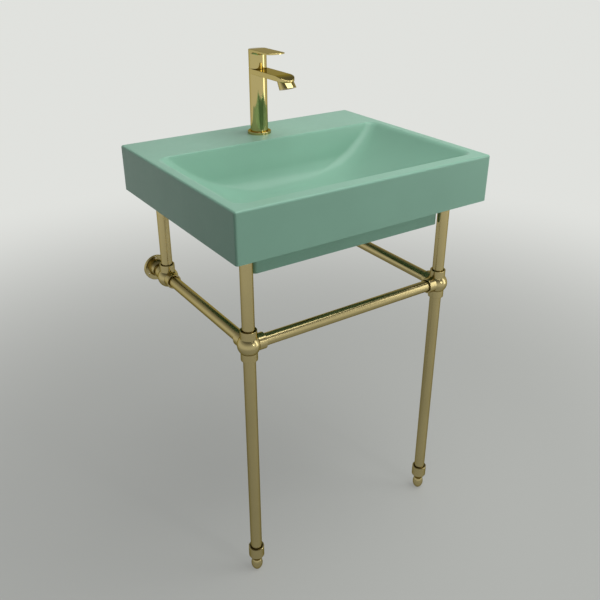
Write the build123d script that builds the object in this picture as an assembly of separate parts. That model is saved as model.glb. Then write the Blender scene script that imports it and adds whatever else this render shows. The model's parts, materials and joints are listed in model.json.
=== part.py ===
from build123d import *
import os
from math import asin, cos, radians, sin, sqrt, tan

# A ceramic console basin carried by a two-legged brass stand that is screwed to
# the wall, with a single-lever tap on its deck and a push-open waste in its bowl.
# Millimetres. +Z is up, +Y points to the wall, +X is to the right seen from the
# front. The origin is on the floor, midway across the width and the depth.

# Basin
BASIN_WIDTH = 600.0
BASIN_DEPTH = 494.0
RIM_HEIGHT = 897.0
APRON_HEIGHT = 98.0
APRON_DRAFT = 3.0
APRON_CORNER_RADIUS = 6.0
OUTER_EDGE_RADIUS = 4.0
SKIRT_SIDE_SETBACK = 71.0
SKIRT_SETBACK = 65.0
SKIRT_DROP = 58.0
SKIRT_CORNER_RADIUS = 8.0
CERAMIC_WALL = 14.0
DECK_THICKNESS = 18.0
HANGER_SPACING = 280.0
HANGER_HOLE_RADIUS = 7.0
HANGER_DEPTH = 50.0
WALL_GAP = 3.0

# Bowl
DECK_DEPTH = 138.0
FRONT_RIM = 29.0
SIDE_RIM = 23.0
BOWL_DEPTH = 105.0
BOWL_FLOOR_FALL = 6.0
BOWL_SIDE_RADIUS = 285.0
BOWL_WALL_SLOPE = 15.0
BOWL_FLOOR_RADIUS = 55.0
BOWL_CREASE_RADIUS = 25.0
BOWL_LIP_RADIUS = 6.0

# Waste
WASTE_TUBE_RADIUS = 20.95
WASTE_TUBE_WALL = 2.6
WASTE_TUBE_LENGTH = 74.0
WASTE_FLANGE_RADIUS = 32.0
WASTE_FLANGE_THICKNESS = 2.4
WASTE_FLANGE_EDGE = 1.2
WASTE_THROAT_DEPTH = 8.7
WASTE_SEAL_THICKNESS = 1.0
WASTE_RECESS_CLEARANCE = 1.2
WASTE_HOLE_CLEARANCE = 1.5
WASTE_LOWER_SEAL_THICKNESS = 5.0
WASTE_LOWER_SEAL_RADIUS = 30.0
WASTE_WASHER_THICKNESS = 1.5
WASTE_NUT_HEIGHT = 9.0
WASTE_NUT_COLLAR = 2.25
WASTE_NUT_FLATS = 54.0
TAIL_RADIUS = 15.875
TAIL_WALL = 1.5
TAIL_LENGTH = 50.0
TAIL_ENGAGEMENT = 20.0
SPIDER_DROP = 40.0
SPIDER_HEIGHT = 5.0
SPIDER_ARM_WIDTH = 3.5
SPIDER_ARM_COUNT = 3
HUB_RADIUS = 8.5
HUB_BORE_RADIUS = 3.25
LATCH_CASE_RADIUS = 6.5
LATCH_CASE_HEIGHT = 30.0
LATCH_CASE_FLOOR = 1.5
LATCH_BORE_RADIUS = 4.8
PLUG_RADIUS = 29.0
PLUG_THICKNESS = 3.0
PLUG_CROWN = 2.0
PLUG_GAP = 0.4
PLUG_LIFT = 8.0
PLUG_SEAL_RADIUS = 26.0
PLUG_SEAL_WIDTH = 3.0
PLUG_SEAL_DEPTH = 1.5
PLUNGER_RADIUS = 3.0
PLUNGER_COLLAR_RADIUS = 4.4
PLUNGER_COLLAR_HEIGHT = 3.0
SPRING_WIRE_RADIUS = 0.5
SPRING_TURNS = 6.0

# Tap
TAP_SETBACK = 76.5
TAP_RADIUS = 19.6
TAP_BODY_HEIGHT = 141.5
TAP_HOLE_RADIUS = 16.0
BASE_RING_RADIUS = 26.0
BASE_RING_HEIGHT = 6.0
BASE_RING_EDGE = 1.2
BASE_GASKET_THICKNESS = 1.5
BASE_GASKET_WIDTH = 3.2
FIT = 0.1
SPOUT_THICKNESS = 11.0
SPOUT_REACH = 120.0
SPOUT_NOSE_LENGTH = 30.0
SPOUT_NOSE_DROP = 8.0
SPOUT_EDGE_RADIUS = 1.0
SPOUT_END_SETBACK = 11.0
SPOUT_ROOT_RADIUS = 12.0
NOZZLE_RADIUS = 18.0
NOZZLE_HEAD_RADIUS = 17.2
NOZZLE_TILT = 18.0
NOZZLE_DROP = 25.5
WATERWAY_RADIUS = 3.6
CHAMBER_RADIUS = 5.8
CARTRIDGE_RADIUS = 17.2
CARTRIDGE_POCKET_CLEARANCE = 0.3
CARTRIDGE_HEIGHT = 27.0
RETAINING_RING_HEIGHT = 8.0
RETAINING_RING_TOP = 2.0
DOME_RADIUS = 13.0
SWIVEL_RADIUS = 9.5
SWIVEL_RUNNING = 0.05
SWIVEL_FOOT_RADIUS = 11.0
SWIVEL_FOOT_HEIGHT = 3.0
SWIVEL_FOOT_CLEARANCE = 0.4
SWIVEL_FOOT_LIFT = 0.2
SWIVEL_BELOW_PIVOT = 8.5
SWIVEL_ABOVE_PIVOT = 4.25
LIFT_PIVOT_HEIGHT = 4.5
LIFT_PIN_RADIUS = 1.5
LIFT_PIN_RUNNING = 0.05
LIFT_PIN_RECESS = 0.8
LIFT_ANGLE = 18.0
STEM_WIDTH = 7.4
STEM_DEPTH = 8.0
STEM_SLOT_CLEARANCE = 0.3
STEM_SWING_CLEARANCE = 1.5
STEM_BELOW_PIVOT = 6.5
STEM_LENGTH = 25.0
LEVER_GAP = 0.8
LEVER_RELIEF_GAP = 0.4
LEVER_SKIRT_HEIGHT = 35.2
LEVER_SKIRT_WALL = 2.3
LEVER_CAVITY_HEIGHT = 17.0
LEVER_TOP = 40.2
LEVER_CROWN = 1.5
LEVER_EDGE_RADIUS = 0.8
LEVER_REACH = 84.0
LEVER_TIP_THICKNESS = 2.5
LEVER_TIP_RADIUS = 34.0
LEVER_TIP_CORNER = 8.0
LEVER_ROOT_RADIUS = 6.0
LEVER_SCREW_RADIUS = 2.0
LEVER_SCREW_RECESS = 2.0
LEVER_SCREW_SOCKET_RADIUS = 1.0
LEVER_SCREW_SOCKET_DEPTH = 2.0
AERATOR_RADIUS = 12.0
AERATOR_HEIGHT = 8.0
AERATOR_WALL = 1.6
AERATOR_RECESS = 1.0
AERATOR_HOLE_RADIUS = 0.9
AERATOR_HOLE_RINGS = (3.0, 6.0, 9.0)
AERATOR_SCREEN_THICKNESS = 4.0
INLET_SPACING = 17.0
INLET_OFFSET = 4.0
INLET_RADIUS = 4.5
INLET_THREAD_LENGTH = 12.0
INLET_WATERWAY_RADIUS = 2.8
STUD_RADIUS = 4.0
STUD_OFFSET = 8.5
STUD_LENGTH = 62.0
STUD_ENGAGEMENT = 14.0
CLAMP_RADIUS = 26.0
CLAMP_GASKET_THICKNESS = 3.0
CLAMP_PLATE_THICKNESS = 2.5
CLAMP_SLOT_WIDTH = 28.0
STUD_NUT_RADIUS = 7.0
STUD_NUT_HEIGHT = 20.0

# Stand
TUBE_RADIUS = 12.7
TUBE_WALL = 1.2
POST_SKIRT_CLEARANCE = 3.8
FRONT_LEG_SETBACK = 64.6
REAR_POST_SETBACK = 62.7
RAIL_HEIGHT = 596.0
BALL_RADIUS = 23.3
SOCKET_RADIUS = 17.0
SOCKET_LENGTH = 33.0
SOCKET_CORE = 16.0
MOUTH_RADIUS = 14.2
MOUTH_DEPTH = 5.0
SOCKET_EDGE_RADIUS = 0.8
GRUB_SCREW_RADIUS = 2.5
GRUB_SCREW_POSITION = 22.0
GRUB_SCREW_RECESS = 0.6
POST_PAD_THICKNESS = 2.5
POST_PAD_RADIUS = 11.8
POST_PAD_PLUG_LENGTH = 12.0
PLUG_FIT = 0.1
FLANGE_RADIUS = 30.5
FLANGE_THICKNESS = 6.0
FLANGE_EDGE_RADIUS = 1.2
FLANGE_HUB_BASE_RADIUS = 20.5
FLANGE_HUB_RADIUS = 17.0
FLANGE_HUB_LENGTH = 22.0
FLANGE_STEP = 2.0
FLANGE_PCD = 47.0
FLANGE_HOLE_RADIUS = 2.5
FLANGE_HOLE_COUNT = 3
FOOT_PAD_RADIUS = 4.5
FOOT_BUN_RADIUS = 12.4
FOOT_BUN_HEIGHT = 13.5
FOOT_NECK_RADIUS = 9.4
FOOT_NECK_HEIGHT = 30.5
FOOT_TAPER_HEIGHT = 44.0
FOOT_CUP_RADIUS = 17.3
FOOT_CUP_HEIGHT = 70.0
FOOT_CUP_FLOOR = 53.0
FOOT_STUD_RADIUS = 4.0
FOOT_STUD_LENGTH = 24.0
LEG_INSERT_LENGTH = 20.0

# Places that follow from the sizes above
OVERALL_DEPTH = BASIN_DEPTH + WALL_GAP
SKIRT_WIDTH = BASIN_WIDTH - 2 * SKIRT_SIDE_SETBACK
WALL_Y = OVERALL_DEPTH / 2
BACK_Y = WALL_Y - WALL_GAP
FRONT_Y = BACK_Y - BASIN_DEPTH
APRON_BOTTOM = RIM_HEIGHT - APRON_HEIGHT
SKIRT_BOTTOM = APRON_BOTTOM - SKIRT_DROP
BOWL_BACK_Y = BACK_Y - DECK_DEPTH
BOWL_FRONT_Y = FRONT_Y + FRONT_RIM
BOWL_HALF_WIDTH = BASIN_WIDTH / 2 - SIDE_RIM
DRAIN_Y = (BOWL_BACK_Y + BOWL_FRONT_Y) / 2
DRAIN_Z = RIM_HEIGHT - BOWL_DEPTH
TAP_Y = BACK_Y - TAP_SETBACK
BODY_TOP = RIM_HEIGHT + TAP_BODY_HEIGHT
PIVOT_Z = BODY_TOP + LIFT_PIVOT_HEIGHT
LEG_X = SKIRT_WIDTH / 2 + POST_SKIRT_CLEARANCE + TUBE_RADIUS
FRONT_LEG_Y = FRONT_Y + FRONT_LEG_SETBACK
REAR_POST_Y = BACK_Y - REAR_POST_SETBACK
OVERCUT = 40.0


def cylinder(radius, low, high, x=0.0, y=0.0):
    """An upright round bar between two heights."""
    middle = (low + high) / 2
    return Pos(x, y, middle) * Cylinder(radius, high - low)


def pipe(outer, inner, low, high, x=0.0, y=0.0):
    """An upright round pipe between two heights."""
    return cylinder(outer, low, high, x, y) - cylinder(inner, low - 1, high + 1, x, y)


def block(low, high):
    """A box given by its lowest and highest corners."""
    size = [b - a for a, b in zip(low, high)]
    centre = [(a + b) / 2 for a, b in zip(low, high)]
    return Pos(*centre) * Box(*size)


def bar(start, end, radius):
    """A round bar from one point to another."""
    axis = Vector(*end) - Vector(*start)
    place = Plane(origin=start, z_dir=axis)
    return extrude(place * Circle(radius), amount=axis.length)


def circles_at(shape, centre):
    """The round edges of a shape that are centred on a point."""
    round_edges = shape.edges().filter_by(GeomType.CIRCLE)
    return [e for e in round_edges if (e.arc_center - Vector(*centre)).length < 0.01]


def turned(points, x=0.0, y=0.0):
    """A solid turned about an upright axis from its (radius, height) outline."""
    outline = Plane.XZ * make_face(Polyline(*points, close=True))
    return Pos(x, y, 0) * revolve(outline, axis=Axis.Z)


def bowl_void(grow=0.0):
    """The space inside the bowl, or the same space grown by a wall thickness."""
    top = OVERCUT
    radius = BOWL_SIDE_RADIUS
    floor_half = BOWL_HALF_WIDTH - sqrt(radius ** 2 - (radius - BOWL_DEPTH) ** 2)
    sweep = asin((BOWL_HALF_WIDTH - floor_half) / radius) / 2
    mid_x = floor_half + radius * sin(sweep)
    mid_z = -BOWL_DEPTH + radius - radius * cos(sweep)
    right = ThreePointArc((floor_half, -BOWL_DEPTH), (mid_x, mid_z), (BOWL_HALF_WIDTH, 0))
    left = ThreePointArc((-BOWL_HALF_WIDTH, 0), (-mid_x, mid_z), (-floor_half, -BOWL_DEPTH))
    rise = Polyline(right @ 1, (BOWL_HALF_WIDTH, top), (-BOWL_HALF_WIDTH, top), left @ 0)
    floor = Line(left @ 1, right @ 0)
    across = make_face(Curve() + [right, rise, left, floor])

    wall_depth = BOWL_DEPTH - BOWL_FLOOR_FALL
    lean = wall_depth * tan(radians(BOWL_WALL_SLOPE))
    corners = [
        (BOWL_BACK_Y, top),
        (BOWL_BACK_Y, 0),
        (BOWL_BACK_Y - lean, -wall_depth),
        (DRAIN_Y, -BOWL_DEPTH),
        (BOWL_FRONT_Y + lean, -wall_depth),
        (BOWL_FRONT_Y, 0),
        (BOWL_FRONT_Y, top),
    ]
    along = make_face(Polyline(*corners, close=True))
    feet = [v for v in along.vertices() if abs(v.Y + wall_depth) < 0.01]
    along = fillet(feet, BOWL_FLOOR_RADIUS)
    if grow > 0:
        across = offset(across, amount=grow, kind=Kind.INTERSECTION)
        along = offset(along, amount=grow, kind=Kind.INTERSECTION)
    across_solid = extrude(Plane.XZ * across, amount=BASIN_DEPTH, both=True)
    along_solid = extrude(Plane.YZ * along, amount=BASIN_WIDTH, both=True)
    return Pos(0, 0, RIM_HEIGHT) * (across_solid & along_solid)


def inside_bowl(edge, low, high):
    """Whether an edge lies within the bowl's outline and reaches the two heights."""
    box = edge.bounding_box()
    centre = edge.center()
    across = abs(centre.X) < BOWL_HALF_WIDTH + 1
    along = BOWL_FRONT_Y - 1 < centre.Y < BOWL_BACK_Y + 1
    return across and along and box.min.Z < low and box.max.Z > high


def basin_body():
    """The ceramic: apron box, lower skirt, bowl, hollow underside and its holes."""
    top = Pos(0, (FRONT_Y + BACK_Y) / 2, RIM_HEIGHT) * Rectangle(BASIN_WIDTH, BASIN_DEPTH)
    bottom = Pos(0, (FRONT_Y + APRON_DRAFT + BACK_Y) / 2, APRON_BOTTOM) * Rectangle(
        BASIN_WIDTH - 2 * APRON_DRAFT, BASIN_DEPTH - APRON_DRAFT)
    apron = loft([bottom, top])
    uprights = [e for e in apron.edges() if e.bounding_box().size.Z > APRON_HEIGHT / 2]
    apron = fillet(uprights, APRON_CORNER_RADIUS)
    skirt_front = FRONT_Y + SKIRT_SETBACK
    skirt = block((-SKIRT_WIDTH / 2, skirt_front, SKIRT_BOTTOM),
                  (SKIRT_WIDTH / 2, BACK_Y, APRON_BOTTOM + CERAMIC_WALL / 2))
    skirt = fillet([e for e in skirt.edges().filter_by(Axis.Z) if e.center().Y < 0],
                   SKIRT_CORNER_RADIUS)

    shell = bowl_void(CERAMIC_WALL)
    wide = block((-BASIN_WIDTH / 2 + APRON_DRAFT + CERAMIC_WALL, FRONT_Y + APRON_DRAFT + CERAMIC_WALL,
                  APRON_BOTTOM + CERAMIC_WALL),
                 (BASIN_WIDTH / 2 - APRON_DRAFT - CERAMIC_WALL, BACK_Y - CERAMIC_WALL,
                  RIM_HEIGHT - DECK_THICKNESS))
    narrow = block((-SKIRT_WIDTH / 2 + CERAMIC_WALL, skirt_front + CERAMIC_WALL, SKIRT_BOTTOM - 1),
                   (SKIRT_WIDTH / 2 - CERAMIC_WALL, BACK_Y - CERAMIC_WALL,
                    APRON_BOTTOM + CERAMIC_WALL + 1))
    hollow = (wide + narrow) - shell

    body = apron + skirt - bowl_void()
    creases = [e for e in body.edges()
               if inside_bowl(e, RIM_HEIGHT - BOWL_DEPTH / 2, RIM_HEIGHT - 1)]
    body = fillet(creases, BOWL_CREASE_RADIUS)
    lips = [e for e in body.edges() if inside_bowl(e, RIM_HEIGHT + 0.01, RIM_HEIGHT - 0.01)]
    body = fillet(lips, BOWL_LIP_RADIUS)
    rim = [e for e in body.edges()
           if e.bounding_box().min.Z > RIM_HEIGHT - 0.01
           and (abs(e.center().X) > BOWL_HALF_WIDTH + 2 * BOWL_LIP_RADIUS
                or e.center().Y < BOWL_FRONT_Y - 2 * BOWL_LIP_RADIUS
                or e.center().Y > BACK_Y - 1)]
    body = fillet(rim, OUTER_EDGE_RADIUS)
    body = body - hollow

    recess = WASTE_FLANGE_RADIUS + WASTE_RECESS_CLEARANCE
    depth = WASTE_FLANGE_THICKNESS + WASTE_SEAL_THICKNESS
    body -= cylinder(recess, DRAIN_Z - depth, DRAIN_Z + OVERCUT, 0, DRAIN_Y)
    body -= cylinder(WASTE_TUBE_RADIUS + WASTE_HOLE_CLEARANCE, SKIRT_BOTTOM, DRAIN_Z, 0, DRAIN_Y)
    body -= cylinder(TAP_HOLE_RADIUS, RIM_HEIGHT - DECK_THICKNESS - 1, RIM_HEIGHT + 1, 0, TAP_Y)
    for side in (-1, 1):
        hole_x = side * HANGER_SPACING / 2
        hole_z = RIM_HEIGHT - HANGER_DEPTH
        body -= bar((hole_x, BACK_Y - CERAMIC_WALL - 1, hole_z), (hole_x, BACK_Y + 1, hole_z),
                    HANGER_HOLE_RADIUS)
    return body


def waste_pieces():
    """The push-open waste: body, seals, nut, tail, plug and its latch cartridge."""
    pieces = {}
    y = DRAIN_Y
    top = DRAIN_Z
    bore = WASTE_TUBE_RADIUS - WASTE_TUBE_WALL
    flange_low = top - WASTE_FLANGE_THICKNESS
    tube_low = flange_low - WASTE_TUBE_LENGTH
    hub_low = top - SPIDER_DROP
    body = turned([
        (bore, tube_low),
        (WASTE_TUBE_RADIUS, tube_low),
        (WASTE_TUBE_RADIUS, flange_low),
        (WASTE_FLANGE_RADIUS, flange_low),
        (WASTE_FLANGE_RADIUS, top - WASTE_FLANGE_EDGE),
        (WASTE_FLANGE_RADIUS - WASTE_FLANGE_EDGE, top),
        (PLUG_SEAL_RADIUS + 1, top),
        (bore, top - WASTE_THROAT_DEPTH),
    ], 0, y)
    hub = pipe(HUB_RADIUS, HUB_BORE_RADIUS, hub_low, hub_low + SPIDER_HEIGHT, 0, y)
    arm = block((HUB_RADIUS - 1, -SPIDER_ARM_WIDTH / 2, hub_low),
                (bore + WASTE_TUBE_WALL / 2, SPIDER_ARM_WIDTH / 2, hub_low + SPIDER_HEIGHT))
    body += hub
    for index in range(SPIDER_ARM_COUNT):
        body += Pos(0, y, 0) * Rot(0, 0, 90 + index * 360 / SPIDER_ARM_COUNT) * arm
    pieces["waste_body"] = body
    pieces["waste_flange_seal"] = pipe(WASTE_FLANGE_RADIUS - 1, WASTE_TUBE_RADIUS + FIT,
                                       flange_low - WASTE_SEAL_THICKNESS, flange_low, 0, y)

    seat = RIM_HEIGHT - BOWL_DEPTH - CERAMIC_WALL
    seal_low = seat - WASTE_LOWER_SEAL_THICKNESS
    washer_low = seal_low - WASTE_WASHER_THICKNESS
    nut_low = washer_low - WASTE_NUT_HEIGHT
    collar = WASTE_TUBE_RADIUS + FIT
    pieces["waste_lower_seal"] = pipe(WASTE_LOWER_SEAL_RADIUS, collar, seal_low, seat, 0, y)
    pieces["waste_washer"] = pipe(WASTE_LOWER_SEAL_RADIUS, collar, washer_low, seal_low, 0, y)
    hexagon = RegularPolygon(WASTE_NUT_FLATS / 2, 6, major_radius=False)
    nut = Pos(0, y, nut_low) * extrude(hexagon, amount=WASTE_NUT_HEIGHT)
    nut += cylinder(WASTE_LOWER_SEAL_RADIUS, washer_low - WASTE_NUT_COLLAR, washer_low, 0, y)
    pieces["waste_nut"] = nut - cylinder(collar, nut_low - 1, washer_low + 1, 0, y)

    tail_high = tube_low + TAIL_ENGAGEMENT
    tail_low = tail_high - TAIL_LENGTH
    tail = cylinder(TAIL_RADIUS, tail_low, tail_high, 0, y)
    tail += cylinder(bore - FIT, tube_low, tail_high, 0, y)
    tail -= cylinder(TAIL_RADIUS - TAIL_WALL, tail_low - 1, tail_high + 1, 0, y)
    pieces["waste_tailpiece"] = tail

    case_low = hub_low + SPIDER_HEIGHT
    case_high = case_low + LATCH_CASE_HEIGHT
    case = cylinder(LATCH_CASE_RADIUS, case_low, case_high, 0, y)
    case += cylinder(HUB_BORE_RADIUS - FIT, hub_low, case_low, 0, y)
    case -= cylinder(LATCH_BORE_RADIUS, case_low + LATCH_CASE_FLOOR, case_high + 1, 0, y)
    pieces["plug_latch_case"] = case

    disc_low = top + PLUG_GAP
    disc_high = disc_low + PLUG_THICKNESS
    crown_radius = (PLUG_RADIUS ** 2 + PLUG_CROWN ** 2) / (2 * PLUG_CROWN)
    crown = Pos(0, y, disc_high + PLUG_CROWN - crown_radius) * Sphere(crown_radius)
    disc = cylinder(PLUG_RADIUS, disc_low, disc_high + PLUG_CROWN, 0, y) & crown
    groove_high = disc_low + PLUG_SEAL_DEPTH
    groove_inner = PLUG_SEAL_RADIUS - PLUG_SEAL_WIDTH
    disc -= pipe(PLUG_SEAL_RADIUS, groove_inner, disc_low - 1, groove_high, 0, y)
    collar_low = case_high - PLUG_LIFT - PLUNGER_COLLAR_HEIGHT
    pieces["waste_plug"] = disc
    pieces["plug_seal"] = pipe(PLUG_SEAL_RADIUS, groove_inner, disc_low, groove_high, 0, y)
    plunger = cylinder(PLUNGER_RADIUS, collar_low, disc_low, 0, y)
    plunger += cylinder(PLUNGER_COLLAR_RADIUS, collar_low, collar_low + PLUNGER_COLLAR_HEIGHT, 0, y)
    pieces["plug_plunger"] = plunger

    spring_low = case_low + LATCH_CASE_FLOOR + SPRING_WIRE_RADIUS + FIT
    spring_high = collar_low - SPRING_WIRE_RADIUS - FIT
    coil_radius = LATCH_BORE_RADIUS - SPRING_WIRE_RADIUS - FIT
    coil = Helix((spring_high - spring_low) / SPRING_TURNS, spring_high - spring_low, coil_radius)
    wire = sweep(Plane(origin=coil @ 0, z_dir=coil % 0) * Circle(SPRING_WIRE_RADIUS), path=coil,
                 is_frenet=True)
    pieces["plug_spring"] = Pos(0, y, spring_low) * wire
    return pieces


def level_outline(shape, rear_y):
    """The edges round a slab's faces, without its uprights and its rear end."""
    chosen = []
    for edge in shape.edges():
        box = edge.bounding_box()
        upright = box.size.X < 0.01 and box.size.Y < 0.01
        at_rear = box.min.Y > rear_y - 0.01
        if not upright and not at_rear:
            chosen.append(edge)
    return chosen


def spout():
    """The tap's flat spout with its falling nose and leaning outlet collar."""
    high = BODY_TOP
    low = high - SPOUT_THICKNESS
    end_y = TAP_Y - SPOUT_REACH + SPOUT_END_SETBACK
    plan = Pos(0, (TAP_Y + end_y) / 2) * Rectangle(2 * TAP_RADIUS, TAP_Y - end_y)
    plan += Pos(0, end_y) * Circle(TAP_RADIUS)
    slab = extrude(Pos(0, 0, low) * plan, amount=SPOUT_THICKNESS)
    tip_y = end_y - TAP_RADIUS
    nose_y = tip_y + SPOUT_NOSE_LENGTH
    bend = (SPOUT_NOSE_LENGTH ** 2 + SPOUT_NOSE_DROP ** 2) / (2 * SPOUT_NOSE_DROP)
    half = asin(SPOUT_NOSE_LENGTH / bend) / 2
    middle = (nose_y - bend * sin(half), high - bend * (1 - cos(half)))
    nose = ThreePointArc((nose_y, high), middle, (tip_y, high - SPOUT_NOSE_DROP))
    rest = Polyline(nose @ 1, (tip_y, low), (TAP_Y, low), (TAP_Y, high), nose @ 0)
    slab &= extrude(Plane.YZ * make_face(Curve() + [nose, rest]), amount=OVERCUT, both=True)
    slab = fillet(level_outline(slab, TAP_Y), SPOUT_EDGE_RADIUS)
    head = Pos(0, end_y, low + 1) * Circle(NOZZLE_HEAD_RADIUS)
    mouth = outlet_frame(0) * Circle(NOZZLE_RADIUS)
    return slab + loft([mouth, head])


def root_blend(height, radius):
    """The concave blend between a round column and the flat underside that leaves it."""
    y = TAP_Y
    middle = radius * (1 - cos(radians(45)))
    arc = ThreePointArc((TAP_RADIUS, height - radius), (TAP_RADIUS + middle, height - middle),
                        (TAP_RADIUS + radius, height))
    rest = Polyline(arc @ 1, (TAP_RADIUS / 2, height), (TAP_RADIUS / 2, height - radius), arc @ 0)
    outline = Plane.XZ * make_face(Curve() + [arc, rest])
    ring = Pos(0, y, 0) * revolve(outline, axis=Axis.Z)
    front = y - TAP_RADIUS - radius - 1
    return ring & block((-TAP_RADIUS, front, height - radius - 1), (TAP_RADIUS, y, height + 1))


def outlet_frame(depth):
    """A plane across the outlet, a distance up its leaning axis from its mouth."""
    lean = radians(NOZZLE_TILT)
    up = Vector(0, sin(lean), cos(lean))
    mouth = Vector(0, TAP_Y - SPOUT_REACH, BODY_TOP - NOZZLE_DROP)
    return Plane(origin=mouth + up * depth, z_dir=up)


def tap_pieces():
    """The tap: body with spout, cartridge, lever, aerator and its fixing."""
    pieces = {}
    y = TAP_Y
    deck = RIM_HEIGHT
    body_low = deck + BASE_GASKET_THICKNESS
    pocket = CARTRIDGE_RADIUS + CARTRIDGE_POCKET_CLEARANCE
    cartridge_high = BODY_TOP - RETAINING_RING_HEIGHT + RETAINING_RING_TOP
    cartridge_low = cartridge_high - CARTRIDGE_HEIGHT
    body = cylinder(TAP_RADIUS, body_low, BODY_TOP, 0, y) + spout()
    body += root_blend(BODY_TOP - SPOUT_THICKNESS, SPOUT_ROOT_RADIUS)
    body -= cylinder(pocket, cartridge_low, BODY_TOP + 1, 0, y)
    channel_z = BODY_TOP - SPOUT_THICKNESS / 2
    outlet = outlet_frame(0)
    body -= extrude(outlet * Circle(AERATOR_RADIUS + FIT), amount=AERATOR_RECESS + AERATOR_HEIGHT)
    chamber = extrude(outlet_frame(AERATOR_RECESS + AERATOR_HEIGHT - 1) * Circle(CHAMBER_RADIUS),
                      amount=NOZZLE_DROP - AERATOR_HEIGHT - SPOUT_THICKNESS / 2)
    body -= chamber
    channel_end = outlet_frame(NOZZLE_DROP - SPOUT_THICKNESS / 2).origin.Y
    body -= bar((0, y - pocket + 1, channel_z), (0, channel_end, channel_z), WATERWAY_RADIUS)
    for side in (-1, 1):
        inlet_x = side * INLET_SPACING / 2
        inlet_y = y - INLET_OFFSET
        body -= cylinder(INLET_RADIUS, body_low - 1, body_low + INLET_THREAD_LENGTH, inlet_x, inlet_y)
        body -= cylinder(INLET_WATERWAY_RADIUS, body_low, cartridge_low + 1, inlet_x, inlet_y)
    body -= cylinder(STUD_RADIUS + FIT, body_low - 1, body_low + STUD_ENGAGEMENT, 0, y + STUD_OFFSET)
    pieces["tap_body"] = body

    ring = pipe(BASE_RING_RADIUS, TAP_RADIUS + FIT, deck, deck + BASE_RING_HEIGHT, 0, y)
    upper = circles_at(ring, (0, y, deck + BASE_RING_HEIGHT))
    outer = [e for e in upper if e.radius > BASE_RING_RADIUS - 0.01]
    pieces["tap_base_ring"] = fillet(outer, BASE_RING_EDGE)
    pieces["tap_base_gasket"] = pipe(TAP_RADIUS - FIT, TAP_RADIUS - BASE_GASKET_WIDTH, deck, body_low, 0, y)

    core_radius = SWIVEL_RADIUS + SWIVEL_RUNNING
    foot_low = PIVOT_Z - SWIVEL_BELOW_PIVOT - SWIVEL_FOOT_HEIGHT
    foot_high = foot_low + SWIVEL_FOOT_HEIGHT
    cartridge = cylinder(CARTRIDGE_RADIUS, cartridge_low, cartridge_high - 1, 0, y)
    cartridge -= cylinder(SWIVEL_FOOT_RADIUS + SWIVEL_FOOT_CLEARANCE, foot_low - SWIVEL_FOOT_LIFT,
                          BODY_TOP + 1, 0, y)
    for side in (-1, 1):
        cartridge -= cylinder(INLET_WATERWAY_RADIUS, cartridge_low - 1, foot_low,
                              side * INLET_SPACING / 2, y - INLET_OFFSET)
    pieces["cartridge_case"] = cartridge

    ring_low = cartridge_high - 1
    ring_high = BODY_TOP - LEVER_GAP
    dome_high = BODY_TOP + RETAINING_RING_TOP
    retaining = cylinder(CARTRIDGE_RADIUS, ring_low, ring_high, 0, y)
    retaining += cylinder(DOME_RADIUS, ring_low, dome_high, 0, y)
    retaining -= cylinder(core_radius, ring_low - 1, dome_high + 1, 0, y)
    retaining -= cylinder(SWIVEL_FOOT_RADIUS + SWIVEL_FOOT_CLEARANCE, ring_low - 1,
                          foot_high + SWIVEL_FOOT_LIFT, 0, y)
    pieces["cartridge_nut"] = retaining

    swivel_top = PIVOT_Z + SWIVEL_ABOVE_PIVOT
    swivel = cylinder(SWIVEL_RADIUS, foot_low, swivel_top, 0, y)
    swivel += cylinder(SWIVEL_FOOT_RADIUS, foot_low, foot_high, 0, y)
    slot_half = STEM_WIDTH / 2 + STEM_SLOT_CLEARANCE
    slot_low = PIVOT_Z - STEM_BELOW_PIVOT - STEM_SWING_CLEARANCE
    swivel -= block((-slot_half, y - SWIVEL_RADIUS - 1, slot_low),
                    (slot_half, y + SWIVEL_RADIUS + 1, swivel_top + 1))
    swivel -= bar((-OVERCUT, y, PIVOT_Z), (OVERCUT, y, PIVOT_Z), LIFT_PIN_RADIUS)
    pieces["cartridge_swivel"] = swivel
    pin_half = SWIVEL_RADIUS - LIFT_PIN_RECESS
    pieces["lift_pin"] = bar((-pin_half, y, PIVOT_Z), (pin_half, y, PIVOT_Z), LIFT_PIN_RADIUS)

    stem = block((-STEM_WIDTH / 2, y - STEM_DEPTH / 2, PIVOT_Z - STEM_BELOW_PIVOT),
                 (STEM_WIDTH / 2, y + STEM_DEPTH / 2, PIVOT_Z - STEM_BELOW_PIVOT + STEM_LENGTH))
    stem -= bar((-OVERCUT, y, PIVOT_Z), (OVERCUT, y, PIVOT_Z), LIFT_PIN_RADIUS + LIFT_PIN_RUNNING)
    pieces["cartridge_stem"] = stem
    pieces.update(lever_pieces())

    cup = extrude(outlet_frame(AERATOR_RECESS) * Circle(AERATOR_RADIUS), amount=AERATOR_HEIGHT - 1)
    core = extrude(outlet_frame(AERATOR_RECESS) * Circle(AERATOR_RADIUS - AERATOR_WALL),
                   amount=AERATOR_HEIGHT)
    pieces["aerator_housing"] = cup - core
    mesh_depth = AERATOR_RECESS + AERATOR_WALL / 2
    screen = extrude(outlet_frame(mesh_depth) * Circle(AERATOR_RADIUS - AERATOR_WALL - FIT),
                     amount=AERATOR_SCREEN_THICKNESS)
    for ring_radius in AERATOR_HOLE_RINGS:
        for index in range(int(ring_radius * 2)):
            place = outlet_frame(mesh_depth - 1) * Rot(0, 0, index * 180 / ring_radius)
            hole = place * Pos(ring_radius, 0) * Circle(AERATOR_HOLE_RADIUS)
            screen -= extrude(hole, amount=AERATOR_HEIGHT)
    pieces["aerator_screen"] = screen
    pieces.update(tap_fixing(body_low))
    return pieces


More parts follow.
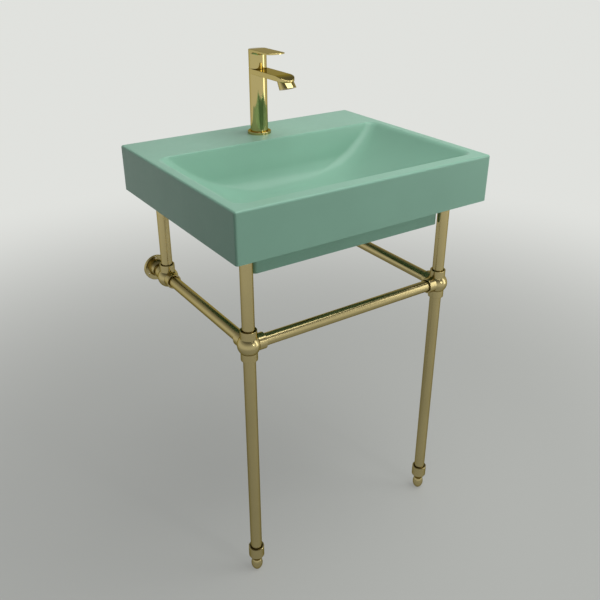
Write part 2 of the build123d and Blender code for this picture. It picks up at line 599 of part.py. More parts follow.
def lever_pieces():
    """The lever: round skirt with a relieved back edge, flat paddle and its screw."""
    y = TAP_Y
    low = BODY_TOP + LEVER_GAP
    high = BODY_TOP + LEVER_TOP
    skirt_high = BODY_TOP + LEVER_SKIRT_HEIGHT
    skirt = cylinder(TAP_RADIUS, low, skirt_high + LEVER_EDGE_RADIUS, 0, y)
    rear_y = y + TAP_RADIUS
    tip_y = y - LEVER_REACH
    side = [
        (rear_y, skirt_high),
        (y - TAP_RADIUS, skirt_high),
        (tip_y, high - LEVER_TIP_THICKNESS),
        (tip_y, high),
        (y, high),
        (rear_y, high - LEVER_CROWN),
    ]
    profile = extrude(Plane.YZ * make_face(Polyline(*side, close=True)), amount=OVERCUT, both=True)
    plan = Pos(0, (y + tip_y) / 2) * Rectangle(2 * TAP_RADIUS, y - tip_y)
    plan = fillet([v for v in plan.vertices() if v.Y < y - 1], LEVER_TIP_CORNER)
    plan += Pos(0, y) * Circle(TAP_RADIUS)
    nose = Pos(0, tip_y + LEVER_TIP_RADIUS) * Circle(LEVER_TIP_RADIUS)
    plan = plan & (nose + Pos(0, y) * Rectangle(4 * TAP_RADIUS, 4 * TAP_RADIUS))
    paddle = profile & extrude(Pos(0, 0, skirt_high) * plan, amount=LEVER_TOP)
    upper = [e for e in level_outline(paddle, OVERCUT + rear_y) if e.bounding_box().min.Z > skirt_high + 1]
    upper = [e for e in upper if e.bounding_box().max.Z > high - LEVER_CROWN - 0.01]
    across = [e for e in upper if e.bounding_box().size.Y < 0.01]
    paddle = fillet([e for e in upper if e not in across], LEVER_EDGE_RADIUS)
    lever = skirt + paddle + root_blend(skirt_high, LEVER_ROOT_RADIUS)

    cavity = TAP_RADIUS - LEVER_SKIRT_WALL
    cavity_high = low + LEVER_CAVITY_HEIGHT
    lever -= cylinder(cavity, low - 1, cavity_high, 0, y)
    socket_high = PIVOT_Z - STEM_BELOW_PIVOT + STEM_LENGTH
    lever -= block((-STEM_WIDTH / 2 - FIT, y - STEM_DEPTH / 2 - FIT, cavity_high - 1),
                   (STEM_WIDTH / 2 + FIT, y + STEM_DEPTH / 2 + FIT, socket_high))
    slope = tan(radians(LIFT_ANGLE))
    lifted = (LIFT_PIVOT_HEIGHT - LEVER_RELIEF_GAP) / cos(radians(LIFT_ANGLE))
    start = (LEVER_GAP - LIFT_PIVOT_HEIGHT + lifted) / slope
    relief = [
        (y + start, low),
        (rear_y + 1, low + (rear_y + 1 - y - start) * slope),
        (rear_y + 1, low - 1),
        (y + start - 1 / slope, low - 1),
    ]
    lever -= extrude(Plane.YZ * make_face(Polyline(*relief, close=True)), amount=OVERCUT, both=True)
    screw_z = (cavity_high + socket_high) / 2
    screw_start = y + STEM_DEPTH / 2
    lever -= bar((0, screw_start, screw_z), (0, rear_y + 1, screw_z), LEVER_SCREW_RADIUS + FIT)
    head_y = rear_y - LEVER_SCREW_RECESS
    screw = bar((0, screw_start + FIT, screw_z), (0, head_y, screw_z), LEVER_SCREW_RADIUS)
    screw -= bar((0, head_y - LEVER_SCREW_SOCKET_DEPTH, screw_z), (0, head_y + 1, screw_z),
                 LEVER_SCREW_SOCKET_RADIUS)
    return {"tap_lever": lever, "lever_screw": screw}


def tap_fixing(body_low):
    """The stud, horseshoe gasket and plate and the long nut below the deck."""
    y = TAP_Y
    stud_y = y + STUD_OFFSET
    under = RIM_HEIGHT - DECK_THICKNESS
    stud_high = body_low + STUD_ENGAGEMENT
    stud = cylinder(STUD_RADIUS, stud_high - STUD_LENGTH, stud_high, 0, stud_y)
    plate_high = under - CLAMP_GASKET_THICKNESS
    plate_low = plate_high - CLAMP_PLATE_THICKNESS
    slot = block((-CLAMP_SLOT_WIDTH / 2, y - CLAMP_RADIUS - 1, plate_low - 1),
                 (CLAMP_SLOT_WIDTH / 2, y + 1, under + 1))
    hole = cylinder(STUD_RADIUS + FIT, plate_low - 1, under + 1, 0, stud_y)
    gasket = cylinder(CLAMP_RADIUS, plate_high, under, 0, y) - slot - hole
    plate = cylinder(CLAMP_RADIUS, plate_low, plate_high, 0, y) - slot - hole
    nut = cylinder(STUD_NUT_RADIUS, plate_low - STUD_NUT_HEIGHT, plate_low, 0, stud_y)
    nut -= cylinder(STUD_RADIUS + FIT, plate_low - STUD_NUT_HEIGHT - 1, plate_low + 1, 0, stud_y)
    return {
        "tap_stud": stud,
        "tap_clamp_gasket": gasket,
        "tap_clamp_plate": plate,
        "tap_stud_nut": nut,
    }


def corner_fitting(centre, arms):
    """A ball with a socket along each arm, bored for the tubes."""
    ball = Pos(*centre) * Sphere(BALL_RADIUS)
    bores = []
    for arm in arms:
        direction = Vector(*arm)
        start = Vector(*centre)
        end = start + direction * SOCKET_LENGTH
        socket = bar(start, end, SOCKET_RADIUS)
        ball += fillet(circles_at(socket, end), SOCKET_EDGE_RADIUS)
        bores.append(bar(start + direction * SOCKET_CORE, end + direction, TUBE_RADIUS + FIT))
        bores.append(bar(end - direction * MOUTH_DEPTH, end + direction, MOUTH_RADIUS))
        screw_at = start + direction * GRUB_SCREW_POSITION
        hidden = screw_side(arm)
        bores.append(bar(screw_at, screw_at + hidden * (SOCKET_RADIUS + 1), GRUB_SCREW_RADIUS))
    for bore in bores:
        ball -= bore
    return ball


def screw_side(arm):
    """The hidden side of a socket: under a level one, towards the wall on an upright one."""
    if abs(arm[2]) > 0.5:
        return Vector(0, 1, 0)
    return Vector(0, 0, -1)


def grub_screws(fittings):
    """The screws that hold the tubes in the corner fittings, as one group."""
    screws = []
    for centre, arms in fittings:
        for arm in arms:
            at = Vector(*centre) + Vector(*arm) * GRUB_SCREW_POSITION
            side = screw_side(arm)
            screw = bar(at + side * (TUBE_RADIUS + FIT), at + side * (SOCKET_RADIUS - GRUB_SCREW_RECESS),
                        GRUB_SCREW_RADIUS - FIT)
            screws.append(screw)
    return Compound(children=screws)


def hollow_tube(start, end):
    """A stand tube between two points."""
    return bar(start, end, TUBE_RADIUS) - bar(start, end, TUBE_RADIUS - TUBE_WALL)


def wall_flange(x):
    """A round wall flange with a tapering hub and three screw holes."""
    face = WALL_Y
    hub_end = face - FLANGE_HUB_LENGTH
    disc = bar((x, face, RAIL_HEIGHT), (x, face - FLANGE_THICKNESS, RAIL_HEIGHT), FLANGE_RADIUS)
    disc = fillet(circles_at(disc, (x, face - FLANGE_THICKNESS, RAIL_HEIGHT)), FLANGE_EDGE_RADIUS)
    base = Plane(origin=(x, face - FLANGE_THICKNESS + 1, RAIL_HEIGHT), z_dir=(0, -1, 0))
    tip = Plane(origin=(x, hub_end, RAIL_HEIGHT), z_dir=(0, -1, 0))
    hub = loft([base * Circle(FLANGE_HUB_BASE_RADIUS), tip * Circle(FLANGE_HUB_RADIUS)])
    flange = disc + hub
    flange -= bar((x, face - FLANGE_STEP, RAIL_HEIGHT), (x, hub_end - 1, RAIL_HEIGHT), TUBE_RADIUS + FIT)
    for index in range(FLANGE_HOLE_COUNT):
        angle = radians(90 + index * 360 / FLANGE_HOLE_COUNT)
        hole_x = x + FLANGE_PCD / 2 * cos(angle)
        hole_z = RAIL_HEIGHT + FLANGE_PCD / 2 * sin(angle)
        flange -= bar((hole_x, face + 1, hole_z), (hole_x, face - FLANGE_HUB_LENGTH - 1, hole_z),
                      FLANGE_HOLE_RADIUS)
    return flange


def foot(x):
    """A bun foot with a neck, a cup round the tube's end and a threaded stud."""
    y = FRONT_LEG_Y
    bun = ThreePointArc((FOOT_PAD_RADIUS, 0), (FOOT_BUN_RADIUS, FOOT_BUN_HEIGHT),
                        (FOOT_NECK_RADIUS, FOOT_NECK_HEIGHT))
    rest = Polyline(
        bun @ 1,
        (FOOT_CUP_RADIUS, FOOT_TAPER_HEIGHT),
        (FOOT_CUP_RADIUS, FOOT_CUP_HEIGHT - SOCKET_EDGE_RADIUS),
        (FOOT_CUP_RADIUS - SOCKET_EDGE_RADIUS, FOOT_CUP_HEIGHT),
        (MOUTH_RADIUS, FOOT_CUP_HEIGHT),
        (MOUTH_RADIUS, FOOT_CUP_HEIGHT - MOUTH_DEPTH),
        (TUBE_RADIUS + FIT, FOOT_CUP_HEIGHT - MOUTH_DEPTH),
        (TUBE_RADIUS + FIT, FOOT_CUP_FLOOR),
        (FOOT_STUD_RADIUS, FOOT_CUP_FLOOR),
        (FOOT_STUD_RADIUS, FOOT_CUP_FLOOR + FOOT_STUD_LENGTH),
        (0, FOOT_CUP_FLOOR + FOOT_STUD_LENGTH),
        (0, 0),
        bun @ 0,
    )
    outline = Plane.XZ * make_face(Curve() + [bun, rest])
    return Pos(x, y, 0) * revolve(outline, axis=Axis.Z)


def stand_pieces():
    """The stand: legs, posts, rails, corner fittings, wall flanges and feet."""
    plug_radius = TUBE_RADIUS - TUBE_WALL - PLUG_FIT
    pieces = {}
    fittings = []
    pads = []
    post_high = APRON_BOTTOM - POST_PAD_THICKNESS
    for name, side in (("left", -1), ("right", 1)):
        x = side * LEG_X
        front = (x, FRONT_LEG_Y, RAIL_HEIGHT)
        rear = (x, REAR_POST_Y, RAIL_HEIGHT)
        front_arms = [(0, 0, 1), (0, 0, -1), (0, 1, 0), (-side, 0, 0)]
        rear_arms = [(0, 0, 1), (0, -1, 0), (0, 1, 0)]
        fittings += [(front, front_arms), (rear, rear_arms)]
        pieces["front_fitting_" + name] = corner_fitting(front, front_arms)
        pieces["rear_fitting_" + name] = corner_fitting(rear, rear_arms)
        pieces["front_leg_" + name] = hollow_tube((x, FRONT_LEG_Y, FOOT_CUP_FLOOR),
                                                  (x, FRONT_LEG_Y, RAIL_HEIGHT - SOCKET_CORE))
        for place, y in (("front", FRONT_LEG_Y), ("rear", REAR_POST_Y)):
            post_low = RAIL_HEIGHT + SOCKET_CORE
            pieces[place + "_post_" + name] = hollow_tube((x, y, post_low), (x, y, post_high))
            pad = cylinder(POST_PAD_RADIUS, post_high, APRON_BOTTOM, x, y)
            pad += cylinder(plug_radius, post_high - POST_PAD_PLUG_LENGTH, post_high, x, y)
            pads.append(pad)
        pieces["side_rail_" + name] = hollow_tube((x, FRONT_LEG_Y + SOCKET_CORE, RAIL_HEIGHT),
                                                  (x, REAR_POST_Y - SOCKET_CORE, RAIL_HEIGHT))
        pieces["wall_stub_" + name] = hollow_tube((x, REAR_POST_Y + SOCKET_CORE, RAIL_HEIGHT),
                                                  (x, WALL_Y - FLANGE_STEP, RAIL_HEIGHT))
        pieces["wall_flange_" + name] = wall_flange(x)
        pieces["foot_" + name] = foot(x)
        pieces["leg_insert_" + name] = pipe(plug_radius, FOOT_STUD_RADIUS + FIT, FOOT_CUP_FLOOR,
                                            FOOT_CUP_FLOOR + LEG_INSERT_LENGTH, x, FRONT_LEG_Y)
    pieces["front_rail"] = hollow_tube((-LEG_X + SOCKET_CORE, FRONT_LEG_Y, RAIL_HEIGHT),
                                       (LEG_X - SOCKET_CORE, FRONT_LEG_Y, RAIL_HEIGHT))
    pieces["post_top_pads"] = Compound(children=pads)
    pieces["fitting_grub_screws"] = grub_screws(fittings)
    return pieces


def main():
    os.makedirs("parts", exist_ok=True)
    pieces = {"basin_body": basin_body()}
    pieces.update(waste_pieces())
    pieces.update(tap_pieces())
    pieces.update(stand_pieces())
    for name, piece in pieces.items():
        export_step(piece, "parts/" + name + ".step")


main()
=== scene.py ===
import bpy
import bmesh
import json
from math import atan2, cos, pi, radians, sin, sqrt, tan
from mathutils import Matrix, Vector


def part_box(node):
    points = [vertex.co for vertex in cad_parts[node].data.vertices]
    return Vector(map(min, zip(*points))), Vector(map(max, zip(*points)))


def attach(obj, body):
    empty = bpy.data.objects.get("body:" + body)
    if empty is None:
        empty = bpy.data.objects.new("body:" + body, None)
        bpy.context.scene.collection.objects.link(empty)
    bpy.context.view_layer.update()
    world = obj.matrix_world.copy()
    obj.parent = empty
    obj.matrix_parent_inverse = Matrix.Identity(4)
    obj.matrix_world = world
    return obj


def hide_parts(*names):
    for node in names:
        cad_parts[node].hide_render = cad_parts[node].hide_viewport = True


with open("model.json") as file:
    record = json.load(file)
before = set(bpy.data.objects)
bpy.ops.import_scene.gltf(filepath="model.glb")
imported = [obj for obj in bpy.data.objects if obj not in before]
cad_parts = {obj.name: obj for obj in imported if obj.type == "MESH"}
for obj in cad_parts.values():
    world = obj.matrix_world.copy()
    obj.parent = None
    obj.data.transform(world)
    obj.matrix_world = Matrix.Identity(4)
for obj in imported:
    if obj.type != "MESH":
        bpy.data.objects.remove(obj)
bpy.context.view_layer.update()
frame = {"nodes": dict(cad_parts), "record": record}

MM = 0.001

# Camera, solved from the photograph
CAMERA_PLACE = Vector((-0.8357, -1.2376, 1.3154))
CAMERA_FORWARD = Vector((0.4957, 0.7370, -0.4594))
CAMERA_RIGHT = Vector((0.8297, -0.5582, 0.0))
CAMERA_LENS = 43.6
SENSOR = 36.0

# Colours as written in a Standard view
GLAZE = (0.575, 0.760, 0.668)
SATIN_BRASS = (0.740, 0.680, 0.490)
POLISHED_BRASS = (0.775, 0.710, 0.480)
INNER_BRASS = (0.560, 0.420, 0.190)
STEEL = (0.500, 0.500, 0.500)
RUBBER = (0.025, 0.025, 0.025)
PLASTIC = (0.550, 0.550, 0.520)
FLOOR = (0.700, 0.710, 0.690)
BACKGROUND = (0.880, 0.885, 0.870)
CEILING = (0.440, 0.440, 0.420)

# Colours as a shader takes them
BRASS_EDGE = (0.50, 0.43, 0.22, 1.0)
AMBIENT_COLOUR = (0.94, 0.96, 1.0, 1.0)

# Strength of the light all round, and the heights between which the background dims
AMBIENT = 0.17
DIM_START = 0.10
DIM_END = 0.65

# Floor, metres: half its side, the background's share near the object, and where it fades
FLOOR_HALF = 12.0
FLOOR_GLOW = 0.32
FADE_START = 0.7
FADE_END = 2.6

# The part of a noise's range that materials use
NOISE_LOW = 0.3
NOISE_HIGH = 0.7

# How the brushing marks are stretched along a piece
BRUSHING = {"x": (0.04, 1.0, 1.0), "y": (1.0, 0.04, 1.0), "z": (1.0, 1.0, 0.04), "round": (1.0, 1.0, 1.0)}


def linear(value):
    """A colour written as it looks, as the number that a shader takes."""
    return value / 12.92 if value <= 0.04045 else ((value + 0.055) / 1.055) ** 2.4


def rgba(colour):
    """A written colour as a shader colour."""
    return (*[linear(value) for value in colour], 1.0)


class Nodes:
    """A material's node tree with short calls to add and join nodes."""

    def __init__(self, name):
        self.material = bpy.data.materials.new(name)
        self.material.use_nodes = True
        self.tree = self.material.node_tree
        self.tree.nodes.clear()
        self.shader = self.add("ShaderNodeBsdfPrincipled")
        self.output = self.add("ShaderNodeOutputMaterial")
        self.join(self.shader, "BSDF", self.output, "Surface")
        self.place = self.add("ShaderNodeTexCoord")

    def add(self, kind, **values):
        node = self.tree.nodes.new(kind)
        for key, value in values.items():
            setattr(node, key, value)
        return node

    def join(self, source, out_name, target, in_name):
        self.tree.links.new(source.outputs[out_name], target.inputs[in_name])

    def noise(self, scale, detail, stretch=None):
        """A noise over the object's own space, with an optional stretch along its axes."""
        node = self.add("ShaderNodeTexNoise")
        node.inputs["Scale"].default_value = scale
        node.inputs["Detail"].default_value = detail
        if stretch is None:
            self.join(self.place, "Object", node, "Vector")
        else:
            mapping = self.add("ShaderNodeMapping")
            mapping.inputs["Scale"].default_value = stretch
            self.join(self.place, "Object", mapping, "Vector")
            self.join(mapping, "Vector", node, "Vector")
        return node

    def ranged(self, source, low, high):
        """A noise's used part stretched over another range."""
        node = self.add("ShaderNodeMapRange")
        node.inputs["From Min"].default_value = NOISE_LOW
        node.inputs["From Max"].default_value = NOISE_HIGH
        node.inputs["To Min"].default_value = low
        node.inputs["To Max"].default_value = high
        self.join(source, "Fac", node, "Value")
        return node

    def colours(self, source, first, second):
        """A colour ramp between two written colours."""
        ramp = self.add("ShaderNodeValToRGB")
        ramp.color_ramp.elements[0].position = NOISE_LOW
        ramp.color_ramp.elements[0].color = rgba(first)
        ramp.color_ramp.elements[1].position = NOISE_HIGH
        ramp.color_ramp.elements[1].color = rgba(second)
        self.join(source, "Fac", ramp, "Fac")
        return ramp

    def bump(self, source, strength, distance):
        """A fine relief on the shader's surface."""
        node = self.add("ShaderNodeBump")
        node.inputs["Strength"].default_value = strength
        node.inputs["Distance"].default_value = distance
        self.join(source, "Fac", node, "Height")
        self.join(node, "Normal", self.shader, "Normal")

    def set(self, **values):
        """Fixed numbers on the shader's own sockets."""
        for key, value in values.items():
            self.shader.inputs[key.replace("_", " ")].default_value = value


def glaze_material():
    """Matte mint glaze: faint mottling, a soft sheen and a barely uneven surface."""
    nodes = Nodes("mint_glaze")
    nodes.set(Specular_IOR_Level=0.20, Coat_Weight=0.20, Coat_Roughness=0.11)
    broad = nodes.noise(9.0, 2.0)
    shade = nodes.colours(broad, [c * 0.985 for c in GLAZE], [c * 1.012 for c in GLAZE])
    nodes.join(shade, "Color", nodes.shader, "Base Color")
    grain = nodes.noise(60.0, 4.0)
    rough = nodes.ranged(grain, 0.36, 0.44)
    nodes.join(rough, "Result", nodes.shader, "Roughness")
    nodes.bump(nodes.noise(420.0, 2.0), 0.06, 0.0002)
    return nodes.material


def brass_material(name, colour, drift, rough, brush, stretch, bump):
    """Brass with a faint colour drift and fine marks stretched along its brushing."""
    nodes = Nodes(name)
    nodes.set(Metallic=1.0, Specular_Tint=BRASS_EDGE)
    shade = nodes.colours(nodes.noise(14.0, 3.0), [c * drift for c in colour], colour)
    nodes.join(shade, "Color", nodes.shader, "Base Color")
    marks = nodes.noise(brush, 4.0, stretch)
    sheen = nodes.ranged(marks, *rough)
    nodes.join(sheen, "Result", nodes.shader, "Roughness")
    nodes.bump(marks, bump, 0.0001)
    return nodes.material


def plain_material(name, colour, metallic, rough_low, rough_high, grain, bump):
    """A hidden part's finish: one colour with a grain in its roughness and surface."""
    nodes = Nodes(name)
    nodes.set(Metallic=metallic)
    shade = nodes.colours(nodes.noise(grain / 4, 3.0), [c * 0.93 for c in colour], colour)
    nodes.join(shade, "Color", nodes.shader, "Base Color")
    texture = nodes.noise(grain, 4.0)
    rough = nodes.ranged(texture, rough_low, rough_high)
    nodes.join(rough, "Result", nodes.shader, "Roughness")
    nodes.bump(texture, bump, 0.0002)
    return nodes.material


def dress_nodes():
    """Each CAD node takes the material of its slot, brushed along its own tube."""
    satin = {}
    for axis, stretch in BRUSHING.items():
        satin[axis] = brass_material("satin_brass_" + axis, SATIN_BRASS, 0.975, (0.20, 0.25), 260.0,
                                     stretch, 0.02)
    finishes = {
        "basin_glaze": glaze_material(),
        "tap_brass": brass_material("polished_brass", POLISHED_BRASS, 0.985, (0.06, 0.09), 120.0,
                                    BRUSHING["z"], 0.01),
        "inner_brass": plain_material("machined_brass", INNER_BRASS, 1.0, 0.25, 0.4, 500.0, 0.15),
        "fixing_steel": plain_material("zinc_steel", STEEL, 1.0, 0.3, 0.45, 600.0, 0.15),
        "seal_rubber": plain_material("black_rubber", RUBBER, 0.0, 0.6, 0.8, 700.0, 0.3),
        "inner_plastic": plain_material("moulded_plastic", PLASTIC, 0.0, 0.4, 0.55, 500.0, 0.15),
    }
    slots = {part["node"]: part["material_slot"] for part in frame["record"]["subparts"]}
    for name, node in frame["nodes"].items():
        if slots[name] == "stand_brass":
            finish = satin[brushed_along(name)]
        else:
            finish = finishes[slots[name]]
        node.data.materials.clear()
        node.data.materials.append(finish)
    return finishes


def brushed_along(name):
    """The way that a stand piece is brushed: along its tube, or all round a turned fitting."""
    if name == "front_rail":
        return "x"
    if name.startswith(("side_rail", "wall_stub")):
        return "y"
    if name.startswith(("front_fitting", "rear_fitting", "wall_flange")):
        return "round"
    return "z"


def area_light(name, place, target, size, power):
    """A soft rectangular lamp that points at a target."""
    lamp = bpy.data.lights.new(name, "AREA")
    lamp.shape = "RECTANGLE"
    lamp.size, lamp.size_y = size
    lamp.energy = power
    holder = bpy.data.objects.new(name, lamp)
    holder.location = place
    holder.rotation_euler = (Vector(target) - Vector(place)).to_track_quat("-Z", "Y").to_euler()
    bpy.context.scene.collection.objects.link(holder)


def seen_or_mirrored(tree):
    """One for what the camera sees straight, in a mirror or through glass, and nothing for the light."""
    path = tree.nodes.new("ShaderNodeLightPath")
    total = path.outputs["Is Camera Ray"]
    for ray in ("Is Glossy Ray", "Is Transmission Ray"):
        larger = tree.nodes.new("ShaderNodeMath")
        larger.operation = "MAXIMUM"
        tree.links.new(total, larger.inputs[0])
        tree.links.new(path.outputs[ray], larger.inputs[1])
        total = larger.outputs["Value"]
    return total


def floor_stage():
    """A large pale floor, which keeps the object's shadow and fades into the background far out."""
    mesh = bpy.data.meshes.new("floor")
    corners = [(x * FLOOR_HALF, y * FLOOR_HALF, 0) for x, y in ((-1, -1), (1, -1), (1, 1), (-1, 1))]
    mesh.from_pydata(corners, [], [(0, 1, 2, 3)])
    floor = bpy.data.objects.new("floor", mesh)
    bpy.context.scene.collection.objects.link(floor)
    nodes = Nodes("pale_floor")
    nodes.set(Specular_IOR_Level=0.3, Roughness=0.45)
    shade = nodes.colours(nodes.noise(1.5, 2.0), [c * 0.99 for c in FLOOR], FLOOR)
    nodes.join(shade, "Color", nodes.shader, "Base Color")
    pale = nodes.add("ShaderNodeEmission")
    pale.inputs["Color"].default_value = rgba(BACKGROUND)
    away = nodes.add("ShaderNodeVectorMath", operation="LENGTH")
    nodes.join(nodes.place, "Object", away, "Vector")
    fade = nodes.add("ShaderNodeMapRange", interpolation_type="SMOOTHSTEP")
    fade.inputs["From Min"].default_value = FADE_START
    fade.inputs["From Max"].default_value = FADE_END
    fade.inputs["To Min"].default_value = FLOOR_GLOW
    nodes.join(away, "Value", fade, "Value")
    share = nodes.add("ShaderNodeMath", operation="MULTIPLY")
    nodes.tree.links.new(fade.outputs["Result"], share.inputs[0])
    nodes.tree.links.new(seen_or_mirrored(nodes.tree), share.inputs[1])
    blend = nodes.add("ShaderNodeMixShader")
    nodes.tree.links.new(share.outputs["Value"], blend.inputs[0])
    nodes.tree.links.new(nodes.shader.outputs["BSDF"], blend.inputs[1])
    nodes.tree.links.new(pale.outputs["Emission"], blend.inputs[2])
    nodes.join(blend, "Shader", nodes.output, "Surface")
    mesh.materials.append(nodes.material)


def world_light():
    """Soft light all round, and for the camera and mirrors a pale background that dims overhead."""
    world = bpy.data.worlds.new("studio")
    bpy.context.scene.world = world
    world.use_nodes = True
    tree = world.node_tree
    tree.nodes.clear()
    light = tree.nodes.new("ShaderNodeBackground")
    light.inputs["Color"].default_value = AMBIENT_COLOUR
    light.inputs["Strength"].default_value = AMBIENT
    place = tree.nodes.new("ShaderNodeTexCoord")
    split = tree.nodes.new("ShaderNodeSeparateXYZ")
    height = tree.nodes.new("ShaderNodeValToRGB")
    height.color_ramp.elements[0].position = DIM_START
    height.color_ramp.elements[0].color = rgba(BACKGROUND)
    height.color_ramp.elements[1].position = DIM_END
    height.color_ramp.elements[1].color = rgba(CEILING)
    shown = tree.nodes.new("ShaderNodeBackground")
    mix = tree.nodes.new("ShaderNodeMixShader")
    output = tree.nodes.new("ShaderNodeOutputWorld")
    tree.links.new(place.outputs["Generated"], split.inputs["Vector"])
    tree.links.new(split.outputs["Z"], height.inputs["Fac"])
    tree.links.new(height.outputs["Color"], shown.inputs["Color"])
    tree.links.new(seen_or_mirrored(tree), mix.inputs["Fac"])
    tree.links.new(light.outputs["Background"], mix.inputs[1])
    tree.links.new(shown.outputs["Background"], mix.inputs[2])
    tree.links.new(mix.outputs["Shader"], output.inputs["Surface"])


def camera():
    """The photograph's viewpoint."""
    data = bpy.data.cameras.new("camera")
    data.lens = CAMERA_LENS
    data.sensor_width = SENSOR
    data.sensor_fit = "HORIZONTAL"
    holder = bpy.data.objects.new("camera", data)
    forward = CAMERA_FORWARD.normalized()
    right = CAMERA_RIGHT.normalized()
    up = right.cross(forward)
    turn = Matrix((right, up, -forward)).transposed().to_4x4()
    holder.matrix_world = Matrix.Translation(CAMERA_PLACE) @ turn
    bpy.context.scene.collection.objects.link(holder)
    bpy.context.scene.camera = holder


# Basin, millimetres from the rim's plane, as the CAD solid has it
BODY_LOW, BODY_HIGH = [[value / MM for value in corner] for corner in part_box("basin_body")]
RIM = BODY_HIGH[2]
BACK = BODY_HIGH[1]
FRONT = BODY_LOW[1]
HALF_WIDTH = BODY_HIGH[0]
BODY_DEPTH = RIM - BODY_LOW[2]
APRON = 98.0
EDGE_RADIUS = 4.5
SKIRT_HALF = 229.0
SKIRT_SETBACK = 65.0
SKIRT_CORNER = 8.0
SHELL = 14.0
DECK_THICKNESS = 18.0
DECK_DEPTH = 138.0
FRONT_RIM = 29.0
SIDE_RIM = 23.0
BOWL_DEPTH = 105.0
FLOOR_FALL = 6.0
SIDE_RADIUS = 285.0
WALL_SLOPE = radians(15.0)
FLOOR_RADIUS = 55.0
LIP_SOFTNESS = 7.0
CORNER_RADIUS = 25.0
FLOOR_CORNER_RADIUS = 65.0
SKIRT_FRONT = FRONT + SKIRT_SETBACK
BOWL_BACK = BACK - DECK_DEPTH
BOWL_FRONT = FRONT + FRONT_RIM
BOWL_HALF = HALF_WIDTH - SIDE_RIM
DRAIN_Y = (BOWL_BACK + BOWL_FRONT) / 2
FLAT_HALF = BOWL_HALF - sqrt(SIDE_RADIUS ** 2 - (SIDE_RADIUS - BOWL_DEPTH) ** 2)
REACH = (BOWL_BACK - BOWL_FRONT) / 2
WALL_DEPTH = BOWL_DEPTH - FLOOR_FALL
WALL_FOOT = REACH - WALL_DEPTH * tan(WALL_SLOPE)
FLOOR_RISE = atan2(FLOOR_FALL, WALL_FOOT)
FOOT_TANGENT = FLOOR_RADIUS / tan((pi / 2 + WALL_SLOPE + FLOOR_RISE) / 2)
FOOT_OUT = WALL_FOOT - FOOT_TANGENT * cos(FLOOR_RISE) - FLOOR_RADIUS * sin(FLOOR_RISE)
FOOT_UP = FLOOR_RADIUS * cos(FLOOR_RISE) - FOOT_TANGENT * sin(FLOOR_RISE) - WALL_DEPTH
TAP_Y = sum(corner[1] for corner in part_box("tap_base_ring")) / 2 / MM
TAP_HOLE = 16.0
DRAIN_RECESS = 33.2
DRAIN_RECESS_DEPTH = 3.4
DRAIN_HOLE = 22.45
HANGER_HALF = 140.0
HANGER_DEPTH = 50.0
HANGER_HOLE = 7.0

# Heights where a cutter may end in the open: above the deck, and between the deck and the bowl's floor
ABOVE = 20.0
BETWEEN = -60.0

# How finely the basin is worked out
BISECTIONS = 24
EDGE_SEGMENTS = 5
SKIRT_CORNER_STEPS = 8
TOUCH = 0.001


def soft_min(first, second, softness):
    """The smaller of two heights, with a rounded change from one to the other."""
    overlap = max(softness - abs(first - second), 0.0) / softness
    return min(first, second) - overlap * overlap * softness / 4


def side_height(x, grow):
    """The side-to-side section of the bowl, grown outwards: a flat middle and an arc to each side."""
    out = abs(x) - FLAT_HALF
    radius = SIDE_RADIUS + grow
    if out <= 0:
        return -BOWL_DEPTH - grow
    return -BOWL_DEPTH + SIDE_RADIUS - sqrt(max(radius ** 2 - out ** 2, 0.0))


def along_height(y, grow):
    """Its front-to-back section, grown outwards: a floor that falls to the drain and leaning walls."""
    out = abs(y - DRAIN_Y)
    radius = FLOOR_RADIUS + grow
    if out <= FOOT_OUT + radius * sin(FLOOR_RISE):
        return -BOWL_DEPTH - grow / cos(FLOOR_RISE) + out * tan(FLOOR_RISE)
    if out <= FOOT_OUT + radius * cos(WALL_SLOPE):
        return FOOT_UP - sqrt(max(radius ** 2 - (out - FOOT_OUT) ** 2, 0.0))
    return (out - REACH - grow / cos(WALL_SLOPE)) / tan(WALL_SLOPE)


def half_across(depth):
    """Half the bowl's width at a depth."""
    return FLAT_HALF + sqrt(max(SIDE_RADIUS ** 2 - (SIDE_RADIUS - BOWL_DEPTH + depth) ** 2, 0.0))


def half_along(depth):
    """Half the bowl's length from front to back at a depth."""
    if depth <= FLOOR_RADIUS * sin(WALL_SLOPE) - FOOT_UP:
        return REACH - depth * tan(WALL_SLOPE)
    if depth <= BOWL_DEPTH - (FOOT_OUT + FLOOR_RADIUS * sin(FLOOR_RISE)) * tan(FLOOR_RISE):
        return FOOT_OUT + sqrt(max(FLOOR_RADIUS ** 2 - (FOOT_UP + depth) ** 2, 0.0))
    return max(BOWL_DEPTH - depth, 0.0) / tan(FLOOR_RISE)


def outside(x, y, depth):
    """How far a place lies outside the bowl's level outline, with its round corners, at a depth."""
    across = half_across(depth)
    along = half_along(depth)
    share = max(depth / BOWL_DEPTH, 0.0) ** 2
    corner = CORNER_RADIUS + (FLOOR_CORNER_RADIUS - CORNER_RADIUS) * share
    corner = min(corner, across, along)
    over_x = abs(x) - across + corner
    over_y = abs(y - DRAIN_Y) - along + corner
    if over_x > 0 and over_y > 0:
        return sqrt(over_x ** 2 + over_y ** 2) - corner
    return max(over_x, over_y) - corner


def top_height(x, y):
    """The basin's upper surface below the rim: deck, soft lip and bowl with round corners."""
    shallow, deep = -2 * LIP_SOFTNESS, BOWL_DEPTH
    if outside(x, y, shallow) >= 0:
        return 0.0
    for halving in range(BISECTIONS):
        middle = (shallow + deep) / 2
        if outside(x, y, middle) < 0:
            shallow = middle
        else:
            deep = middle
    return soft_min(0.0, -shallow, LIP_SOFTNESS)


def cavity_height(x, y):
    """The hollow underside's ceiling: below the deck, and a wall's thickness round the bowl."""
    return min(-DECK_THICKNESS, max(side_height(x, SHELL), along_height(y, SHELL)))


